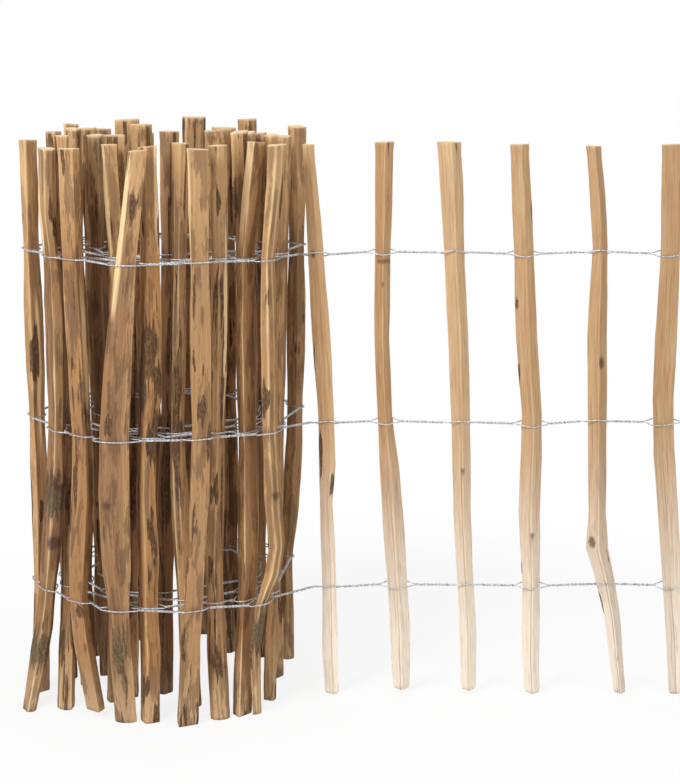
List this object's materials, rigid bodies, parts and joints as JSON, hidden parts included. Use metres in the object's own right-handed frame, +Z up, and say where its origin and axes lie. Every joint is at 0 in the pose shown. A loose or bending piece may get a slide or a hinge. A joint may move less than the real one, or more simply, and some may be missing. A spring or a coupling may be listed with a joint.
{
  "type": "wooden picket fence",
  "caption": "Roll of cleft wooden paling fence, partly unrolled: split pales standing side by side, held by rows of twisted galvanised wire.",
  "frame": {"origin": "on the ground under the middle of the fence's bounding box", "axes": "+X along the unrolled row away from the roll, -Y out of the fence's outer face towards the viewer, +Z up the pales"},
  "size_m": [1.2412, 0.5124, 1.0326],
  "materials": {
    "wood": "cleft, untreated, with bark left in patches",
    "wire": "galvanised"
  },
  "bodies": {
    "root": {"pale_01": "wood", "pale_02": "wood", "pale_03": "wood", "pale_04": "wood", "pale_05": "wood", "pale_06": "wood", "pale_07": "wood", "pale_08": "wood", "pale_09": "wood", "pale_10": "wood", "pale_11": "wood", "pale_12": "wood", "pale_13": "wood", "pale_14": "wood", "pale_15": "wood", "pale_16": "wood", "pale_17": "wood", "pale_18": "wood", "pale_19": "wood", "pale_20": "wood", "pale_21": "wood", "pale_22": "wood", "pale_23": "wood", "pale_24": "wood", "pale_25": "wood", "pale_26": "wood", "pale_27": "wood", "pale_28": "wood", "pale_29": "wood", "pale_30": "wood", "pale_31": "wood", "pale_32": "wood", "pale_33": "wood", "pale_34": "wood", "pale_35": "wood", "pale_36": "wood", "pale_37": "wood", "pale_38": "wood", "pale_39": "wood", "pale_40": "wood", "wire_bottom_first": "wire", "wire_bottom_second": "wire", "wire_middle_first": "wire", "wire_middle_second": "wire", "wire_top_first": "wire", "wire_top_second": "wire"}
  },
  "joints": []
}
